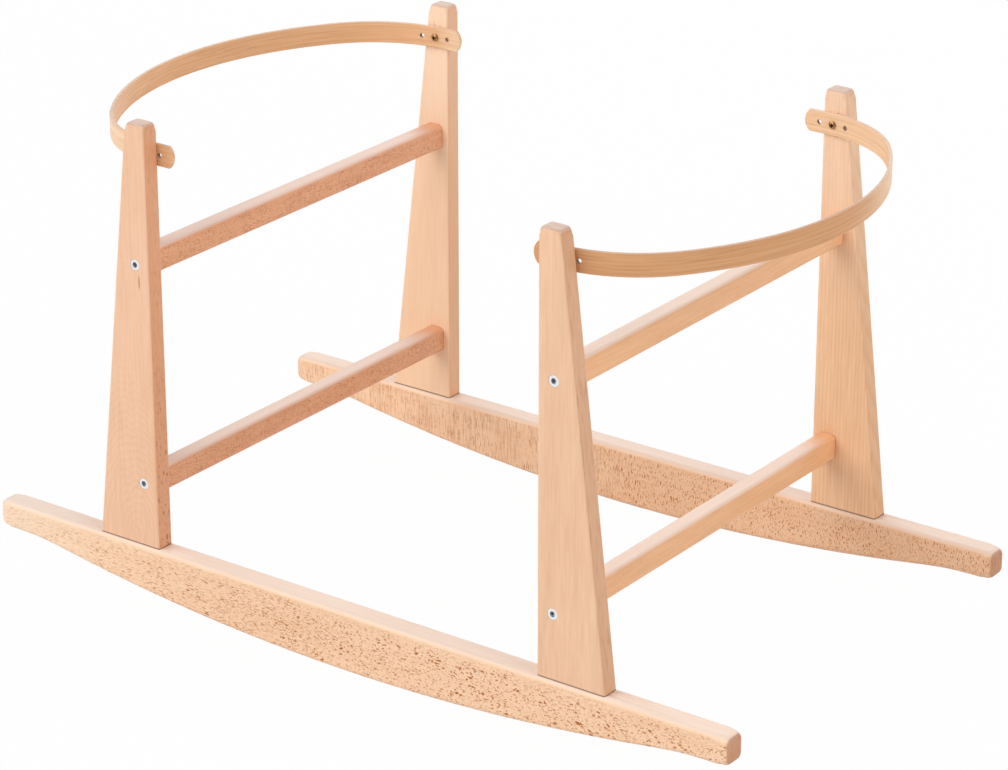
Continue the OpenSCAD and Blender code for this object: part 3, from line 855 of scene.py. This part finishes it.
def paint_bend_light_and_shade(side, face, toward, low, high, tint):
    """Paints light and shade as a tint on the outer (1) or inner (-1) face, from nothing at low to all of it at
    high along a direction.
    """
    def tone(tree, place, color):
        out = vector_maths(tree, "SUBTRACT", place, (side * BEND_X, 0, 0))
        normal = wire(tree, "ShaderNodeNewGeometry").outputs["Normal"]
        outward = vector_maths(tree, "DOT_PRODUCT", out, normal)
        on_face = smooth_range(tree, outward, -FACE_BLEND * face, FACE_BLEND * face)
        reach = vector_maths(tree, "DOT_PRODUCT", place, toward)
        amount = maths(tree, "MULTIPLY", on_face, smooth_range(tree, reach, low, high))
        return mix_colors(tree, amount, color, (*tint, 1), "MULTIPLY")
    return tone


# Painted shade: the walls of the hoops' holes are darkened.
def paint_hole_shade(tree, place, color):
    axes = split(tree, place)
    reach = maths(tree, "SUBTRACT", maths(tree, "ABSOLUTE", axes[0]), SCREW_X)
    across = maths(tree, "WRAP", reach, HOLE_PITCH / 2, -HOLE_PITCH / 2)
    level = maths(tree, "SUBTRACT", axes[2], SCREW_Z)
    square = maths(tree, "MULTIPLY_ADD", across, across, maths(tree, "MULTIPLY", level, level))
    near = smooth_range(tree, maths(tree, "SQRT", square), HOLE_SHADE_INNER, HOLE_SHADE_OUTER, 1.0, 0.0)
    drilled = maths(tree, "LESS_THAN", maths(tree, "ABSOLUTE", reach), 1.5 * HOLE_PITCH)
    amount = maths(tree, "MULTIPLY", near, maths(tree, "MULTIPLY", drilled, HOLE_SHADE_STRENGTH))
    return mix_colors(tree, amount, color, HOLE_SHADE)


print("holes at", [round(SCREW_X + i * HOLE_PITCH, 3) for i in (-1, 0, 1)])

# %% Hoops
STREAK = (0.34, 0.15, 0.06)
# Each hoop's tints are painted light and painted shade on its faces.
HOOPS = {
    "left": ((0.7, 0.0, 0.3), ((0.88, 0.52, 0.29), (0.72, 0.38, 0.18), STREAK),
             [paint_bend_light_and_shade(-1, 1, (-1, 0, 0), 0.20, 0.24, (1.10, 1.32, 1.60)),
              paint_bend_light_and_shade(-1, -1, (-1, 0, 0), 0.225, 0.195, (1.06, 1.27, 1.50))]),
    "right": ((1.9, 0.05, 0.9), ((0.96, 0.66, 0.42), (0.79, 0.46, 0.25), STREAK),
              [paint_bend_light_and_shade(1, 1, (0, 1, 0), 0.12, 0.0, (0.80, 0.64, 0.50))]),
}
for side, (seed, colors, tones) in HOOPS.items():
    finish = beech(
        "hoop_bentwood_" + side, side + "_hoop", along_bend, 0, seed, colors,
        rings=(0.10, 0.0, 0.02, 0.0034, 0.002), weights=(0.10, 0.70, 0.25),
        spots=[flecks(0.018, 0.0012, 0.32, 0.85, 0.40)],
        top_sheen=0.4, tones=[*tones, paint_hole_shade], end_tint=(1, 1, 1))
    dress(finish, side + "_hoop")

# %% [markdown]
# ## Dowels
# The dowels are plain beech and hidden in the joints, so the recipe gets by with one kind of fleck.

# %% Dowels
DOWEL_COLORS = ((0.95, 0.66, 0.45), (0.82, 0.52, 0.32), SPOT_COLOR)
dowel_finish = beech(
    "dowel_beech", "front_left_post_dowels", along_z, 45, (4.1, 0.2, 0.3), DOWEL_COLORS,
    rings=(0.01, 0.02, 0.0, 0.003, 0.001), weights=(0.3, 0.3, 0.2),
    spots=[flecks(0.004, 0.0012, 0.25, 0.4, 0.4)])
dress(dowel_finish, *[n for n in solids if n.endswith("_dowels")])

# %% [markdown]
# ## Metal
# The rail bolts and barrel nuts are bright zinc, and the hoop screws are bronzed. A fine noise breaks up the
# shine. The bolts' sockets get painted shade inside, and the screws get a dark cross of painted shade. The
# cross could be cut into the screw heads, but at 4 mm across it reads the same as a colour.

# %% Worn metal group
metal_group, given, made = new_group("worn_metal", [
    ("Vector", "Vector", None),
    ("Bright", "Color", (0.8, 0.8, 0.8, 1)),
    ("Dull", "Color", (0.5, 0.5, 0.5, 1)),
    ("Smooth", "Float", 0.2),
], [("Color", "Color"), ("Roughness", "Float")])
cloud = wire(metal_group, "ShaderNodeTexNoise", {"Vector": given["Vector"], "Scale": 900.0, "Detail": 3.0})
metal_group.links.new(mix_colors(metal_group, cloud.outputs[0], given["Bright"], given["Dull"]), made["Color"])
metal_group.links.new(maths(metal_group, "MULTIPLY_ADD", cloud.outputs[0], 0.25, given["Smooth"]),
                      made["Roughness"])
print("group:", metal_group.name, "with", len(metal_group.nodes), "nodes")

# %% Metal
SOCKET_SHADE, CROSS_SHADE = (0.50, 0.52, 0.55, 1), (0.03, 0.012, 0.004, 1)


# Painted shade inside the bolts' sockets.
def shade_socket(tree, place, color, floor, face):
    out = maths(tree, "ABSOLUTE", split(tree, place)[1])
    return mix_colors(tree, smooth_range(tree, out, floor, face, 1.0, 0.0), color, SOCKET_SHADE)


# Painted shade: a dark cross on each screw head.
def paint_cross_shade(tree, place, color, half_width, half_length):
    axes = split(tree, place)
    across = maths(tree, "ABSOLUTE", maths(tree, "SUBTRACT", maths(tree, "ABSOLUTE", axes[0]), SCREW_X))
    level = maths(tree, "ABSOLUTE", maths(tree, "SUBTRACT", axes[2], SCREW_Z))
    thick = maths(tree, "LESS_THAN", maths(tree, "MINIMUM", across, level), half_width)
    length = maths(tree, "LESS_THAN", maths(tree, "MAXIMUM", across, level), half_length)
    return mix_colors(tree, maths(tree, "MULTIPLY", thick, length), color, CROSS_SHADE)


def metal(name, bright, dull, smooth, socket=None, cross=None):
    """socket: how far out its floor and the head's face are; cross: half its width and half its length."""
    material = bpy.data.materials.new(name)
    material.use_nodes = True
    tree = material.node_tree
    shader = tree.nodes["Principled BSDF"]
    place = wire(tree, "ShaderNodeTexCoord").outputs["Object"]
    worn = place_group(tree, metal_group, {
        "Vector": place, "Bright": (*bright, 1), "Dull": (*dull, 1), "Smooth": smooth,
    })
    color = worn["Color"]
    if socket:
        color = shade_socket(tree, place, color, *socket)
    if cross:
        color = paint_cross_shade(tree, place, color, *cross)
    tree.links.new(color, shader.inputs["Base Color"])
    tree.links.new(worn["Roughness"], shader.inputs["Roughness"])
    shader.inputs["Metallic"].default_value = 1.0
    return material


zinc = metal("zinc_steel", (0.93, 0.94, 0.95), (0.78, 0.80, 0.83), 0.20, socket=(0.2250, 0.2264))
bronze = metal("bronzed_screw", (0.55, 0.32, 0.15), (0.28, 0.13, 0.05), 0.22, cross=(0.00065, 0.0022))
dress(zinc, *[n for n in solids if n.endswith("_bolts") or n.endswith("_nuts")])
dress(bronze, "left_hoop_screws", "right_hoop_screws")

# %% [markdown]
# ## Floor
# The photograph is a catalogue cut-out on white. The floor is white by itself, and for rays from the camera
# it is mostly a plain white glow, with enough of the lit floor left in it for a soft shadow. That leaves the
# light on the stand alone, where a brighter lamp would wash out the wood.

# %% Floor
FLOOR_HALF, FLOOR_WHITE, GLOW_SHARE = 14, (0.8, 0.8, 0.8, 1), 0.975
corners = [(x * FLOOR_HALF, y * FLOOR_HALF, 0) for x, y in ((-1, -1), (1, -1), (1, 1), (-1, 1))]
floor_mesh = bpy.data.meshes.new("floor")
floor_mesh.from_pydata(corners, [], [(0, 1, 2, 3)])
floor = bpy.data.objects.new("floor", floor_mesh)
scene.collection.objects.link(floor)
floor_finish = bpy.data.materials.new("white_floor")
floor_finish.use_nodes = True
tree = floor_finish.node_tree
tree.nodes.remove(tree.nodes["Principled BSDF"])
lit = wire(tree, "ShaderNodeBsdfDiffuse", {"Color": FLOOR_WHITE}).outputs[0]
glow = wire(tree, "ShaderNodeEmission", {"Color": (1, 1, 1, 1), "Strength": 1.0}).outputs[0]
ray = wire(tree, "ShaderNodeLightPath").outputs
shiny = maths(tree, "MAXIMUM", ray["Is Glossy Ray"], ray["Is Transmission Ray"])
seen = maths(tree, "MAXIMUM", ray["Is Camera Ray"], shiny)
both = wire(tree, "ShaderNodeMixShader", {0: maths(tree, "MULTIPLY", seen, GLOW_SHARE), 1: lit, 2: glow})
tree.links.new(both.outputs[0], tree.nodes["Material Output"].inputs["Surface"])
floor_mesh.materials.append(floor_finish)
print("floor is", 2 * FLOOR_HALF, "m wide")

# %% [markdown]
# ## Light
# The light in the photograph is soft and comes mostly from the front left. A very large lamp stands high
# there, a smaller one at the right lights the inner edges, and a wide one behind glosses the tops. A dim white
# world fills the shadows. One bright world would be simpler, but every face would look the same.

# %% Lamps and world
AIM = (0, 0, 0.2)


def soft_lamp(name, place, size, watts):
    lamp = bpy.data.objects.new(name, bpy.data.lights.new(name, "AREA"))
    lamp.data.shape = "RECTANGLE"
    lamp.data.size, lamp.data.size_y = size
    lamp.data.energy = watts
    lamp.location = place
    lamp.rotation_euler = (Vector(AIM) - Vector(place)).to_track_quat("-Z", "Y").to_euler()
    lamp.visible_camera = False
    scene.collection.objects.link(lamp)
    print(name, "radiance", round(watts / (math.pi * size[0] * size[1]), 2))


soft_lamp("key_lamp", (-3.0, -4.8, 4.3), (9.0, 6.0), 458)
soft_lamp("side_lamp", (4.8, -0.4, 2.9), (4.0, 3.0), 128)
soft_lamp("back_lamp", (-0.3, 3.6, 2.0), (7.0, 2.8), 105)
world = bpy.data.worlds.new("studio")
scene.world = world
world.use_nodes = True
sky = world.node_tree.nodes["Background"]
sky.inputs["Color"].default_value = (1, 1, 1, 1)
sky.inputs["Strength"].default_value = 0.18
